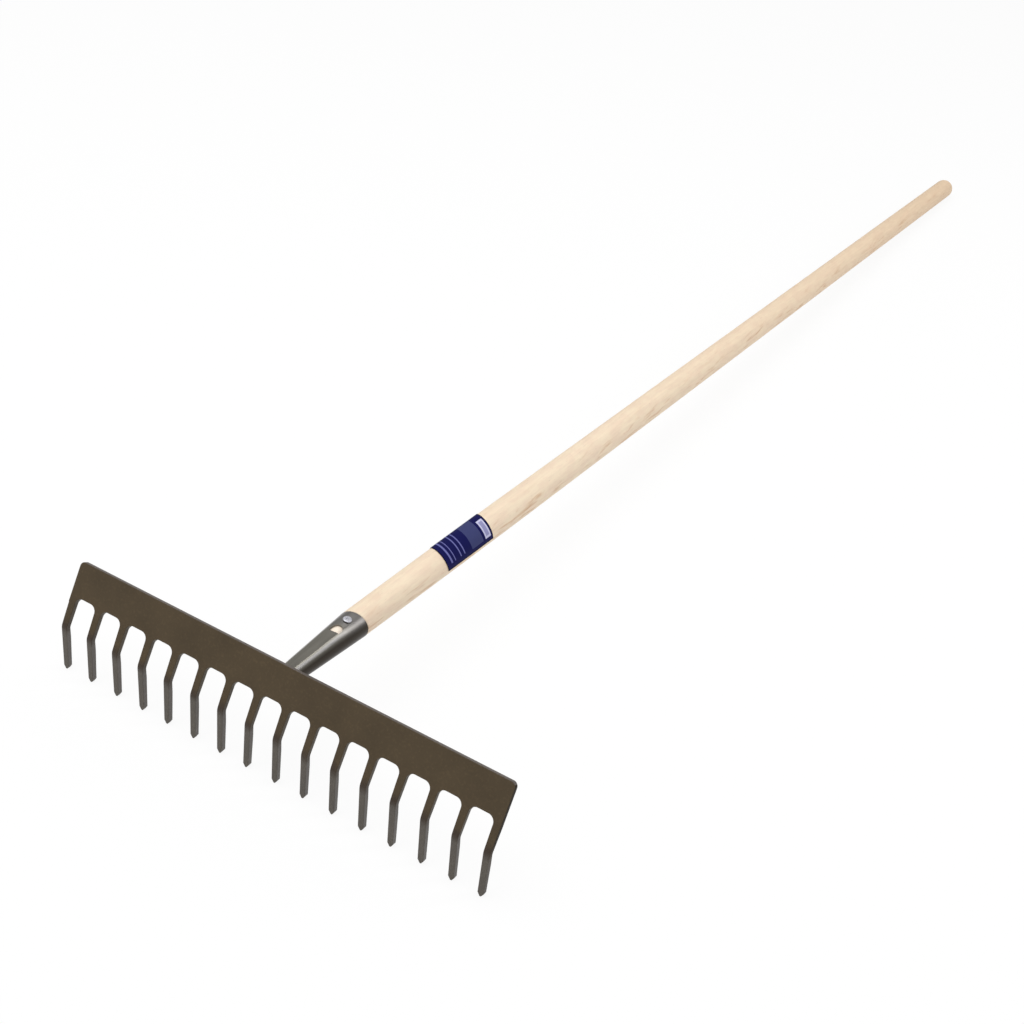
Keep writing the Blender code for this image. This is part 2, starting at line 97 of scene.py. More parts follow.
class RakeHeadSettings(PropertyGroup):
    count: setting("Teeth", "How many teeth the head has", 16, IntProperty)
    pitch: size("Pitch", "Middle of one tooth to the middle of the next", 0.0278)
    sheet: size("Sheet", "Thickness of the steel", 0.0047)
    root_width: size("Root width", "Width of a tooth where it leaves the plate", 0.0066)
    bend_width: size("Bend width", "Width of a tooth at the bend", 0.0057)
    tip_width: size("Tip width", "Width of a tooth just above its point", 0.0054)
    below_bend: size("Below bend", "Front of a tooth from its tip to the bend's corner", 0.0439)
    above_bend: size("Above bend", "Front of a tooth from the bend's corner to the plate", 0.0278)
    plate_height: size("Plate height", "Height of the plate above the slots", 0.0297)
    plate_corner: size("Plate corner", "Radius of the plate's top corners", 0.0044)
    slot_corner: size("Slot corner", "Radius of the slots' upper corners", 0.0060)
    tip_height: size("Tip height", "Height of a tooth's cut point", 0.0033)
    nose_width: size("Nose width", "Width of the flat that ends a point", 0.0012)
    edge_round: size("Edge rounding", "Radius of the stamped edges", 0.0006)
    lean: angle("Lean", "Lean of the teeth below the bend", 1.25)
    bend: angle("Bend", "Turn from the teeth to the plate", 27.2)
    bend_radius: size("Bend radius", "Radius inside the bend", 0.0060)
    swell: size("Swell", "Thickness of a tooth just below the bend", 0.0050)
    swell_below: size("Swell place", "Distance of the thickest place below the bend", 0.0090)
    tip_thickness: size("Tip thickness", "Thickness of a tooth at its tip", 0.0043)
    lacquer: colour("Lacquer", "Stoved lacquer on the plate", "4e412e")
    # Darker lacquer in a band over the bend
    darker_at_bend: colour("Scorched", "Darkened lacquer over the bend", "40352a")
    worn: colour("Worn", "Thin lacquer on the lower teeth", "59534b")
    wall_lacquer: colour("Wall lacquer", "Thinner lacquer on the sheared walls", "4b4235")
    wall_darker_at_bend: colour("Wall scorched", "Darkened lacquer on the walls at the bend", "433a30")
    wall_worn: colour("Wall worn", "Thin lacquer on the walls of the lower teeth", "605b57")
    # Painted shade: the two end walls are painted nearly black for the shade that falls on them
    end_wall_painted_shade: colour("End lacquer", "Thick lacquer on the two end walls", "2c261f")
    # Painted highlight: the plate's top edge is painted paler and greyer for the light that it catches
    top_edge_painted_highlight: colour("Top lacquer", "Rubbed lacquer on the plate's top edge", "564e49")


class SocketSettings(PropertyGroup):
    length: size("Length", "Mouth to the back of the plate", 0.0910)
    mouth_radius: size("Mouth radius", "Outer radius at the mouth", 0.01305)
    foot_radius: size("Foot radius", "Outer radius at the plate", 0.0084)
    wall: size("Wall", "Thickness of the rolled sheet", 0.0012)
    lip: size("Lip", "Rounding of the mouth's edge", 0.0004)
    slope: angle("Slope", "Fall of the socket towards its mouth", 1.0)
    below_edge: size("Below edge", "Foot's middle below the plate's top edge", 0.0133)
    skew: size("Skew", "Depth of the mouth's cut at its deepest", 0.0023)
    skew_turn: angle("Skew turn", "Turn from the top at which the mouth's cut is deepest", -70.0)
    round_depth: size("Round depth", "Depth to which the socket stays round", 0.0060)
    ridge_depth: size("Ridge depth", "Depth at which the ridge is full", 0.0370)
    ridge: angle("Ridge", "Turn of the seam's ridge from the top", 27.5)
    ridge_rise: setting("Ridge rise", "Rise of the ridge, over the radius", 0.083, subtype="FACTOR")
    ridge_round: setting("Ridge round", "Softness of the ridge's corner", 0.006)
    flat: angle("Flat", "Way that the flat left of the ridge faces", -6.0)
    round_again: angle("Round again", "Turn at which the sheet right of the ridge is round again", 115.0)
    dip: setting("Dip", "How far the sheet dips right of the ridge", 5.0)
    hole_depth: size("Hole depth", "Depth of the arched hole below the mouth", 0.0252)
    hole_turn: angle("Hole turn", "Turn of the hole from the top", 6.5)
    hole_radius: size("Hole radius", "Radius of the hole's arched end", 0.0050)
    hole_sill: size("Hole sill", "Hole's middle to its straight end", 0.0038)
    mouth_lacquer: colour("Mouth lacquer", "Tinted steel near the mouth", "827f7d")
    lacquer: colour("Lacquer", "Tinted steel under the thin lacquer", "827f77")
    # Painted highlight: brighter steel in a band right of the ridge, along the side lamp's streak
    crest_highlight: colour("Crest", "Nearly bare steel along the ridge's crest", "9d9b99")
    # Painted shade on browner lacquer: the dark side right of the ridge
    shade: colour("Shade", "Tinted steel under the thick lacquer", "3a352f")


class WeldSettings(PropertyGroup):
    leg: size("Leg", "Reach of the bead up the socket and out on the plate", 0.0028)
    crown: size("Crown", "Bulge of the bead's face", 0.0007)
    ripple: size("Ripple", "Depth of the bead's ripples", 0.00018)
    ripples: setting("Ripples", "Ripples round the bead", 42, IntProperty)
    bead: colour("Bead", "Lacquered weld", "57524a")


class ScrewSettings(PropertyGroup):
    depth: size("Depth", "Depth of the screw below the mouth", 0.0118)
    turn: angle("Turn", "Turn of the screw from the top", 7.7)
    head_radius: size("Head radius", "Radius of the pan head", 0.0037)
    head_height: size("Head height", "Height of the pan head", 0.0014)
    rim_height: size("Rim height", "Height of the head's straight rim", 0.0006)
    shank_radius: size("Shank radius", "Radius of the shank", 0.0017)
    length: size("Length", "Shank from the head to its point", 0.0180)
    point: size("Point", "Length of the shank's cone", 0.0040)
    recess: size("Recess", "Half the length of the cross cut in the head", 0.0020)
    recess_width: size("Recess width", "Width of the cross cut's arms", 0.0008)
    recess_depth: size("Recess depth", "Depth of the cross cut", 0.0008)
    zinc: colour("Zinc", "Zinc plating", "ccccd3")


class HandleSettings(PropertyGroup):
    length: size("Length", "Whole length of the wood", 1.5000)
    in_socket: size("In socket", "Length inside the socket", 0.0590)
    neck: size("Neck radius", "Radius at the socket's mouth", 0.01285)
    swell: size("Swell radius", "Largest radius", 0.01385)
    swell_at: size("Swell place", "Distance of the largest radius from the mouth", 0.2400)
    end: size("End radius", "Radius of the domed end", 0.01265)
    shoulder: size("Shoulder", "Rounding of the shoulder at the mouth", 0.0009)
    nose: size("Nose", "Rounding of the end inside the socket", 0.0020)
    pale: colour("Pale wood", "Yellowish wood", "ead8be")
    warm: colour("Warm wood", "Pinkish wood", "e6d0b8")
    streak: colour("Streak", "Brown streaks along the grain", "c49870")
    far: colour("Far wood", "Ruddy wood at the far end", "e0c3a2")
    # Painted light: the wood inside the socket is painted paler, for the light that falls on it through the
    # arched hole
    tenon: colour("Tenon", "Freshly cut wood inside the socket", "f5e7d6")


class LabelSettings(PropertyGroup):
    start: size("Start", "Distance of the label from the mouth", 0.1144)
    length: size("Length", "Length of the label along the handle", 0.0704)
    turn_from: angle("From", "Turn of the label's hidden edge", -76.0)
    turn_to: angle("To", "Turn of the label's lower edge", 96.0)
    bow: size("Bow", "Bow of the label's ends at the bow's span", 0.0036)
    bow_from: angle("Bow middle", "Turn at which the bow begins", 42.0)
    bow_span: angle("Bow span", "Turn over which the ends bow", 60.0)
    askew: size("Askew", "How much longer the label is along its hidden edge", 0.0038)
    thickness: size("Thickness", "Thickness of the paper", 0.0002)
    ground: colour("Ground", "Printed ground", "0a0c49")
    border: colour("Border", "Line round the print", "0a0a26")
    panel: colour("Panel", "Wide panel", "3d426c")
    stripe: colour("Stripe", "Narrow stripes", "6668a0")
    plate: colour("Pale panel", "Pale panel at the far end", "bcbcd8")
    field: colour("Field", "Greyer field inside the pale panel", "8d8db4")


class StudioSettings(PropertyGroup):
    camera_at: setting(
        "Camera", "Place of the camera", (0.6110, -1.5156, 0.9088), FloatVectorProperty, unit="LENGTH"
    )
    camera_turn: setting(
        "Camera turn",
        "Turn of the camera",
        [radians(turn) for turn in (55.850, -5.081, 32.571)],
        FloatVectorProperty,
        subtype="EULER",
    )
    lens: setting("Lens", "Focal length in millimetres", 57.656)
    floor_half: size("Floor", "Half the width of the floor", 20.0)
    top_power: setting("Top lamp", "Power in watts", 35.5, unit="POWER")
    side_power: setting("Side lamp", "Power in watts", 11.0, unit="POWER")
    ceiling: setting("Ceiling", "Strength of the room's light overhead", 0.65)
    walls: setting("Walls", "Strength of the room's light at the sides", 0.42)


def round_point(azimuth, radius, along):
    """A point of a round piece's frame by its turn from the top towards +X, its radius and its Z."""
    return Vector((radius * sin(azimuth), -radius * cos(azimuth), along))


def turn_of(co):
    """A point's turn from the top, in a round piece's frame."""
    return atan2(co.x, -co.y)


class BentHead:
    """Sizes of the head that follow from its settings, and the way from the flat blank to the bent one."""

    def __init__(self, head):
        self.head = head
        self.front_radius = head.bend_radius + head.sheet
        tangent = self.front_radius * tan(head.bend / 2)
        self.bend_start = head.below_bend - tangent
        self.bend_end = self.bend_start + self.front_radius * head.bend
        self.slot_top = self.bend_end + head.above_bend - tangent
        self.plate_top = self.slot_top + head.plate_height
        self.half_width = (head.count - 1) / 2 * head.pitch + head.root_width / 2
        self.plate_lean = head.lean + head.bend
        self.lift = head.tip_thickness * sin(head.lean)

    @staticmethod
    def up(lean):
        return Vector((0.0, sin(lean), cos(lean)))

    @staticmethod
    def back(lean):
        return Vector((0.0, cos(lean), -sin(lean)))

    def place(self, x, along, through):
        """A point of the blank, along its front face and through the sheet, once it is bent."""
        lean = self.head.lean
        tip = Vector((x, FRONT_Y, self.lift))
        if along <= self.bend_start:
            return tip + along * self.up(lean) + through * self.back(lean)
        centre = tip + self.bend_start * self.up(lean) + self.front_radius * self.back(lean)
        lean += min((along - self.bend_start) / self.front_radius, self.head.bend)
        past = max(along - self.bend_end, 0.0)
        return centre + past * self.up(lean) + (through - self.front_radius) * self.back(lean)

    def thickness(self, along):
        """Drawing a tooth out leaves it thickest just below the bend and thinnest at the tip."""
        head = self.head
        swell_at = self.bend_start - head.swell_below
        if along <= swell_at:
            return head.tip_thickness + (head.swell - head.tip_thickness) * along / swell_at
        if along <= self.bend_start:
            return head.swell + (head.sheet - head.swell) * (along - swell_at) / head.swell_below
        return head.sheet


class RolledSocket:
    """Sizes of the socket: a cone rolled from sheet, whose flat edges meet in a ridge along the seam."""

    # How far round from its facing the flat is followed, and how far left of the ridge the dip's curve is
    FLAT_REACH = radians(60.0)
    DIP_OVERRUN = 0.3

    def __init__(self, socket, bent):
        self.socket = socket
        self.plate_back = bent.place(0.0, bent.plate_top - socket.below_edge, bent.head.sheet)
        self.plate_normal = bent.back(bent.plate_lean)
        out = Vector((0.0, cos(socket.slope), -sin(socket.slope)))
        self.mouth = self.plate_back + socket.length * out
        turn = Matrix.Rotation(-pi / 2 - socket.slope, 4, "X")
        self.frame = Matrix.Translation(self.mouth) @ turn
        self.past_plate = socket.length + 2 * socket.foot_radius

    def cone(self, depth):
        taper = (self.socket.mouth_radius - self.socket.foot_radius) / self.socket.length
        return self.socket.mouth_radius - taper * depth

    def ridged(self, azimuth):
        """Radius over the round's: a flat left of the ridge, a fall into a slight dip right of it."""
        socket = self.socket
        off = azimuth - socket.flat
        distance = (1 + socket.ridge_rise) * cos(socket.ridge - socket.flat)
        if azimuth > socket.round_again or off < -acos(distance):
            return 1.0
        left = distance / cos(off) if off < self.FLAT_REACH else inf
        share = (azimuth - socket.ridge) / (socket.round_again - socket.ridge)
        share = max(share, -self.DIP_OVERRUN)
        right = 1 + socket.ridge_rise * (1 - share) ** 2 * (1 - socket.dip * share)
        # The two meet in a small round
        soft = socket.ridge_round
        return -soft * log(exp(-left / soft) + exp(-right / soft))

    def radius(self, azimuth, depth):
        socket = self.socket
        share = (depth - socket.round_depth) / (socket.ridge_depth - socket.round_depth)
        share = min(max(share, 0.0), 1.0)
        ease = share**2 * (3 - 2 * share)
        return self.cone(depth) * (1 + ease * (self.ridged(azimuth) - 1))

    def pressing(self, steps=8):
        """Depths over which the round is pressed to the ridged section."""
        socket = self.socket
        step = (socket.ridge_depth - socket.round_depth) / steps
        return [socket.round_depth + place * step for place in range(steps + 1)]

    def mouth_depth(self, azimuth):
        """Depth of the mouth's edge, which is cut a little askew."""
        return self.socket.skew * cos(azimuth - self.socket.skew_turn)

    def place(self, azimuth, radius, depth):
        """A point of the rake by its turn round the socket, its radius and its depth below the mouth."""
        return self.frame @ round_point(azimuth, radius, -depth)

    def face_frame(self, azimuth, depth):
        """A frame on the outer face: Z outward, Y towards the mouth."""
        place = round_point(azimuth, self.radius(azimuth, depth), -depth)
        turn = Matrix.Rotation(azimuth, 4, "Z") @ Matrix.Rotation(pi / 2, 4, "X")
        return self.frame @ Matrix.Translation(place) @ turn

    def foot_point(self, azimuth, outward, height):
        """Where the wall, moved outward, is at a height behind the plate."""
        ends = []
        for depth in (self.socket.ridge_depth, self.past_plate):
            point = self.place(azimuth, self.radius(azimuth, depth) + outward, depth)
            ends.append((point, (point - self.plate_back).dot(self.plate_normal)))
        (upper, above), (lower, below) = ends
        return upper.lerp(lower, (above - height) / (above - below))


def rolled_socket(scene):
    """The socket's sizes behind the bent head, as the scene's settings have them."""
    return RolledSocket(scene.rake_socket, BentHead(scene.rake_head))


def add_node(tree, kind, inputs=(), **settings):
    """Adds a shader node with its settings. Its inputs, by name or in their order, are set or linked:
    a node links by its first live output, and a colour gets an alpha of 1. So a Map Range takes a value,
    the two ends that it comes from and the two that it goes to."""
    node = tree.nodes.new("ShaderNode" + kind)
    for name, value in settings.items():
        setattr(node, name, value)
    if isinstance(inputs, dict):
        given = [(node.inputs[name], value) for name, value in inputs.items()]
    else:
        given = list(zip([socket for socket in node.inputs if socket.enabled], inputs))
    for socket, value in given:
        if isinstance(value, Node):
            value = next(output for output in value.outputs if output.enabled)
        if isinstance(value, NodeSocket):
            tree.links.new(value, socket)
        else:
            socket.default_value = (*value, 1.0) if socket.type == "RGBA" else value
    return node


def empty_nodes(owner):
    """Empties a material's or a world's node tree, and gives the function that adds nodes to it."""
    owner.use_nodes = True
    owner.node_tree.nodes.clear()
    return partial(add_node, owner.node_tree)


def new_material(name):
    """A material, the function that adds nodes to it, and the coordinates of the piece that wears it."""
    material = bpy.data.materials.new(name)
    add = empty_nodes(material)
    return material, add, add("TexCoord").outputs


def finish_surface(add, base, relief, looks):
    """Ends a material's nodes in its surface: the relief is a pattern, its strength and its depth."""
    pattern, strength, depth = relief
    normal = add("Bump", {"Strength": strength, "Distance": depth, "Height": pattern})
    surface = add("BsdfPrincipled", {"Base Color": base, "Normal": normal, **looks})
    add("OutputMaterial", {"Surface": surface})


def turn_round(add, own):
    """A point's turn from the top, in the frame of a round piece that runs along Z."""
    parts = add("SeparateXYZ", (own,)).outputs
    upward = add("Math", (parts["Y"], -1.0), operation="MULTIPLY")
    return add("Math", (parts["X"], upward), operation="ARCTAN2")


def stoved_lacquer(bent, name, lacquer, darker_at_bend, worn, shine):
    """Stoved lacquer, dipped over stamped steel: satin brown, darker in a band over the bend, and
    worn thin and grey on the teeth, with faint blotches and with specks drawn coarse enough to show. The
    same nodes make the painted shade of the end walls and the painted highlight of the top edge."""
    material, add, place = new_material(name)
    point = place["Object"]
    blotch = add("TexNoise", {"Vector": point, "Scale": 1 / (26 * MM), "Detail": 5.0})
    speck = add("TexNoise", {"Vector": point, "Scale": 1 / (2.2 * MM)})
    peel = add("TexNoise", {"Vector": point, "Scale": 1 / (0.9 * MM)})
    height = add("SeparateXYZ", (point,)).outputs["Z"]
    # The blotches make the edges of the darker band at the bend and of the worn lacquer ragged by this much
    reach = 10 * MM
    ragged = add("Math", (blotch, reach, height), operation="MULTIPLY_ADD")
    bend = bent.place(0.0, (bent.bend_start + bent.bend_end) / 2, 0.0).z + reach / 2
    past_bend = add("MapRange", (ragged, bend + 1 * MM, bend + 8 * MM), **SMOOTH)
    unworn = add("MapRange", (ragged, bend - 8 * MM, bend + 1 * MM), **SMOOTH)
    brown = add("Mix", (past_bend, darker_at_bend, lacquer), data_type="RGBA")
    base = add("Mix", (unworn, worn, brown), data_type="RGBA")
    cloud = add("MapRange", (blotch, *NOISE_SPAN, 0.9, 1.1))
    grit = add("MapRange", (speck, 0.52, 0.74, 0.98, 1.18))
    tone = add("Math", (cloud, grit), operation="MULTIPLY")
    toned = add("VectorMath", (base, tone), operation="SCALE")
    gloss = add("MapRange", (blotch, *NOISE_SPAN, 0.44, 0.54))
    looks = {"Roughness": gloss, "Specular IOR Level": shine}
    finish_surface(add, toned, (peel, 0.2, 0.04 * MM), looks)
    return material


def rolled_lacquer(socket, rolled):
    """Clear brown lacquer dipped over bright rolled steel: the steel shines through it, greyish where it ran
    off thin left of the seam's ridge, browner right of the ridge and painted nearly black there as shade,
    with a highlight painted on a narrow band by the ridge."""
    material, add, place = new_material("lacquered_rolled_steel")
    inverse = rolled.frame.inverted()
    own = add("Mapping", (place["Object"], inverse.translation, inverse.to_euler()))
    drawn_out = add("Mapping", {"Vector": own, "Scale": (1.0, 1.0, 0.12)})
    run = add("TexNoise", {"Vector": drawn_out, "Scale": 1 / (4 * MM), "Detail": 4.0})
    peel = add("TexNoise", {"Vector": own, "Scale": 1 / (2.5 * MM)})
    # The edge of the browner side that is painted dark as shade lies by the ridge, and further round on the
    # round part near the mouth
    further = radians(5)
    rise = add("SeparateXYZ", (own,)).outputs["Z"]
    beside_ridge = add("MapRange", (rise, -socket.ridge_depth, -socket.round_depth, further, 0.0), **SMOOTH)
    by_ridge = add("Math", (beside_ridge, further), operation="DIVIDE")
    past_edge = add("Math", (turn_round(add, own), beside_ridge), operation="ADD")
    brown_and_shaded_side = add("MapRange", (past_edge, radians(40), radians(76)), **SMOOTH)
    # A painted highlight: the steel is painted brighter in a narrow band right of the ridge's corner, along
    # the side lamp's streak
    band = socket.ridge + radians(19)
    off_band = add("Math", (past_edge, band), operation="SUBTRACT")
    off_band = add("Math", (off_band,), operation="ABSOLUTE")
    in_band = add("MapRange", (off_band, radians(3), radians(12), 1.0, 0.0), **SMOOTH)
    highlighted = add("Math", (in_band, by_ridge), operation="MULTIPLY")
    # The plain colours take the painted highlight in its band, then the painted shade on the browner side
    plain = add("Mix", (by_ridge, socket.mouth_lacquer, socket.lacquer), data_type="RGBA")
    thin = add("Mix", (highlighted, plain, socket.crest_highlight), data_type="RGBA")
    base = add("Mix", (brown_and_shaded_side, thin, socket.shade), data_type="RGBA")
    tone = add("MapRange", (run, *NOISE_SPAN, 0.92, 1.08))
    toned = add("VectorMath", (base, tone), operation="SCALE")
    gloss = add("MapRange", (run, *NOISE_SPAN, 0.33, 0.39))
    finish_surface(add, toned, (peel, 0.15, 0.03 * MM), {"Metallic": 1.0, "Roughness": gloss})
    return material


def lacquered_bead(weld):
    """Lacquer over a weld bead: satin brown like the head, mottled and pitted by the weld's scale."""
    material, add, place = new_material("lacquered_weld_bead")
    scale = add("TexNoise", {"Vector": place["Object"], "Scale": 1 / (1.0 * MM), "Detail": 3.0})
    tone = add("MapRange", (scale, *NOISE_SPAN, 0.85, 1.15))
    toned = add("VectorMath", (weld.bead, tone), operation="SCALE")
    looks = {"Roughness": 0.42, "Specular IOR Level": 0.4}
    finish_surface(add, toned, (scale, 0.3, 0.06 * MM), looks)
    return material


def plated_zinc(screw):
    """Bright zinc plating on a cold-formed screw: a bluish metal with a soft, slightly uneven gloss."""
    material, add, place = new_material("bright_zinc_on_formed_steel")
    cloud = add("TexNoise", {"Vector": place["Object"], "Scale": 1 / (0.7 * MM), "Detail": 3.0})
    gloss = add("MapRange", (cloud, *NOISE_SPAN, 0.30, 0.44))
    finish_surface(add, screw.zinc, (cloud, 0.2, 0.03 * MM), {"Metallic": 1.0, "Roughness": gloss})
    return material


def turned_wood(handle, rolled):
    """Pale hardwood, turned and sanded: faint yellowish and pinkish clouds, fibres along the handle, brown
    streaks a little aslant on its lower side, and pores, drawn coarser than real ones so that they show."""
    material, add, place = new_material("turned_pale_hardwood")
    inverse = handle_frame(handle, rolled)[0].inverted()
    own = add("Mapping", (place["Object"], inverse.translation, inverse.to_euler()))
    aslant = add("Mapping", {"Vector": own, "Rotation": (0.0, radians(5), 0.0)})
    grain = {}
    # Each pattern's size in millimetres, its drawing out along the handle, its detail and its distortion
    for name, point, width, drawn_out, detail, distortion in (
        ("clouds", own, 7.0, 0.4, 6.0, 0.0),
        ("fibres", own, 2.0, 0.05, 4.0, 0.4),
        ("streaks", aslant, 4.0, 0.07, 4.0, 0.5),
        ("pores", own, 0.6, 0.12, 1.0, 0.0),
    ):
        along = add("Mapping", {"Vector": point, "Scale": (1.0, 1.0, drawn_out)})
        looks = {"Scale": 1 / (width * MM), "Detail": detail, "Distortion": distortion}
        grain[name] = add("TexNoise", {"Vector": along, **looks})
    reach = add("SeparateXYZ", (own,)).outputs["Z"]
    # Inside the socket the wood is painted paler, as painted light on it through the arched hole
    inside = add("Math", (reach, -4 * MM), operation="LESS_THAN")
    far_off = add("MapRange", (reach, 0.25 * handle.length, handle.length, 0.0, 0.7))
    lower = (radians(25), radians(75))
    low_side = add("MapRange", (turn_round(add, own), *lower, 0.12, 0.8), **SMOOTH)
    in_cloud = add("MapRange", (grain["clouds"], 0.34, 0.66), **SMOOTH)
    in_streak = add("MapRange", (grain["streaks"], 0.53, 0.77), **SMOOTH)
    streaked = add("Math", (in_streak, low_side), operation="MULTIPLY")
    body = handle.pale
    woods = (in_cloud, handle.warm), (far_off, handle.far), (inside, handle.tenon), (streaked, handle.streak)
    for share, wood in woods:
        body = add("Mix", (share, body, wood), data_type="RGBA")
    fibre_tone = add("MapRange", (grain["fibres"], *NOISE_SPAN, 1.03, 0.96))
    pore_tone = add("MapRange", (grain["pores"], 0.66, 0.78, 1.0, 0.86))
    tone = add("Math", (fibre_tone, pore_tone), operation="MULTIPLY")
    toned = add("VectorMath", (body, tone), operation="SCALE")
    looks = {"Roughness": 0.62, "Specular IOR Level": 0.3}
    finish_surface(add, toned, (grain["fibres"], 0.25, 0.06 * MM), looks)
    return material


def printed_paper(label):
    """Printed, coated paper: a navy ground with plain panels and stripes, and a soft even gloss."""
    material, add, place = new_material("printed_coated_paper")
    across = add("SeparateXYZ", (place["UV"],)).outputs
    # The wide panel's faint lines stand 1 mm apart on the paper
    lines = add("TexWave", {"Vector": place["UV"], "Scale": 22.0}, bands_direction="Y").outputs["Fac"]
    faint = add("Math", (lines, 0.3), operation="MULTIPLY")
    hatched = add("Mix", (faint, label.panel, label.ground), data_type="RGBA")

    def inside(start, stop, left, right):
        """1 inside a rectangle of the label, by its shares along the handle and round it."""
        share = 1.0
        for value, kind, level in (
            (across["Y"], "GREATER_THAN", start),
            (across["Y"], "LESS_THAN", stop),
            (across["X"], "GREATER_THAN", left),
            (across["X"], "LESS_THAN", right),
        ):
            test = add("Math", (value, level), operation=kind)
            share = add("Math", (share, test), operation="MULTIPLY")
        return share

    stripes = ((0.09, 0.12), (0.17, 0.185), (0.29, 0.31), (0.37, 0.39))
    printed = label.ground
    for ink, *where in (
        (hatched, 0.54, 0.79, 0.0, 0.89),
        (label.plate, 0.84, 0.96, 0.44, 0.88),
        (label.field, 0.865, 0.935, 0.49, 0.83),
        *((label.stripe, *ends, 0.19, 0.86) for ends in stripes),
    ):
        printed = add("Mix", (inside(*where), printed, ink), data_type="RGBA")
    within_border = inside(0.012, 0.985, 0.0, 0.965)
    printed = add("Mix", (within_border, label.border, printed), data_type="RGBA")
    fuzz = add("TexNoise", {"Vector": place["Object"], "Scale": 1 / (1.5 * MM), "Detail": 3.0})
    looks = {"Roughness": 0.7, "Specular IOR Level": 0.1}
    finish_surface(add, printed, (fuzz, 0.15, 0.05 * MM), looks)
    return material


def only(kind, items):
    """Those of an operator's results that are of a kind."""
    return [item for item in items if isinstance(item, kind)]


def place_by(bm, where):
    for vert in bm.verts:
        vert.co = where(vert.co)


def new_object(name, data):
    made = bpy.data.objects.new(name, data)
    bpy.context.scene.collection.objects.link(made)
    return made


def mesh_object(name, bm):
    """An object with the bmesh as its mesh; the bmesh is freed."""
    mesh = bpy.data.meshes.new(name)
    bm.to_mesh(mesh)
    bm.free()
    return new_object(name, mesh)


def finish_piece(name, bm, materials, node):
    """Makes the bmesh a piece in its CAD node's stead: faces out, and smooth but for its real edges."""
    bmesh.ops.recalc_face_normals(bm, faces=bm.faces)
    if bm.calc_volume(signed=True) < 0.0:
        bmesh.ops.reverse_faces(bm, faces=bm.faces)
    piece = mesh_object(name, bm)
    piece.data.shade_smooth()
    piece.data.set_sharp_from_angle(angle=SHARP_EDGE)
    for material in materials:
        piece.data.materials.append(material)
    piece.modifiers.new("weighted_normals", "WEIGHTED_NORMAL").keep_sharp = True
    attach(piece, "root")
    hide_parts(node)


def cut_out(bm, cutters):
    """Cuts each cutter's shape out of the bmesh."""
    helpers = [mesh_object("cut_body", bm.copy())]
    for cutter in cutters:
        bmesh.ops.recalc_face_normals(cutter, faces=cutter.faces)
        helpers.append(mesh_object("cutter", cutter))
        boolean = helpers[0].modifiers.new("cut", "BOOLEAN")
        boolean.operation = "DIFFERENCE"
        boolean.solver = "EXACT"
        boolean.object = helpers[-1]
    graph = bpy.context.evaluated_depsgraph_get()
    bm.clear()
    bm.from_mesh(helpers[0].evaluated_get(graph).to_mesh())
    for helper in helpers:
        mesh = helper.data
        bpy.data.objects.remove(helper)
        bpy.data.meshes.remove(mesh)


def cut_plane(bm, at, facing, **clear):
    """Cuts the whole bmesh by a plane, and gives what lies on the cut."""
    whole = bm.verts[:] + bm.edges[:] + bm.faces[:]
    return bmesh.ops.bisect_plane(bm, geom=whole, plane_co=at, plane_no=facing, **clear)["geom_cut"]


def round_off(bm, where, radius, segments, affect="VERTICES"):
    """Rounds the corners of a flat outline, or edges."""
    bmesh.ops.bevel(
        bm, geom=where, offset=radius, segments=segments, profile=0.5, affect=affect, material=-1
    )


def thicken(bm, height):
    """Extrudes a flat outline to a height along Z."""
    raised = bmesh.ops.extrude_face_region(bm, geom=bm.faces[:])["geom"]
    bmesh.ops.translate(bm, verts=only(BMVert, raised), vec=(0.0, 0.0, height))


def flat_blank(head, bent):
    """The flat blank: one tooth with its share of the plate, repeated, joined and trimmed."""
    bm = bmesh.new()
    root = bent.slot_top - head.slot_corner - GAP
    right = [
        (head.nose_width / 2, 0.0),
        (head.tip_width / 2, head.tip_height),
        (head.bend_width / 2, bent.bend_start),
        (head.root_width / 2, root),
        (head.root_width / 2, bent.slot_top),
        (head.pitch / 2, bent.slot_top),
        (head.pitch / 2, bent.plate_top),
    ]
    left = [(-x, along) for x, along in reversed(right)]
    bm.faces.new([bm.verts.new((x, along, 0.0)) for x, along in right + left])
    inner = [v for v in bm.verts if abs(v.co.y - bent.slot_top) < GAP and abs(v.co.x) < head.pitch / 4]
    round_off(bm, inner, head.slot_corner, segments=10)
    cell = bm.verts[:] + bm.edges[:] + bm.faces[:]
    first = -(head.count - 1) / 2 * head.pitch
    for tooth in range(1, head.count):
        copy = bmesh.ops.duplicate(bm, geom=cell)["geom"]
        bmesh.ops.translate(bm, verts=only(BMVert, copy), vec=(tooth * head.pitch, 0.0, 0.0))
    bmesh.ops.translate(bm, verts=bm.verts, vec=(first, 0.0, 0.0))
    bmesh.ops.remove_doubles(bm, verts=bm.verts, dist=0.01 * MM)
    bmesh.ops.dissolve_edges(bm, edges=[e for e in bm.edges if len(e.link_faces) == 2], use_verts=True)
    for side in (-1.0, 1.0):
        cut_plane(bm, (side * bent.half_width, 0.0, 0.0), (side, 0.0, 0.0), clear_outer=True)
    corners = [v for v in bm.verts if v.co.y > bent.plate_top - GAP and abs(v.co.x) > bent.half_width - GAP]
    round_off(bm, corners, head.plate_corner, segments=8)
    return bm


# Teeth whose tips stand a little to one side, as stamped teeth do, in millimetres
TIPS_ASIDE = {3: 0.7, 4: 0.9, 8: -1.0, 11: 0.6, 12: 0.8, 13: 0.7, 14: 0.9, 15: 0.8, 16: -0.9}


def tooth_aside(head, bent, x, along):
    """How far a tooth stands to one side at a height: nothing from the bend up."""
    tooth = round(x / head.pitch + (head.count + 1) / 2)
    share = max(1.0 - along / bent.bend_start, 0.0)
    return TIPS_ASIDE.get(tooth, 0.0) * MM * share


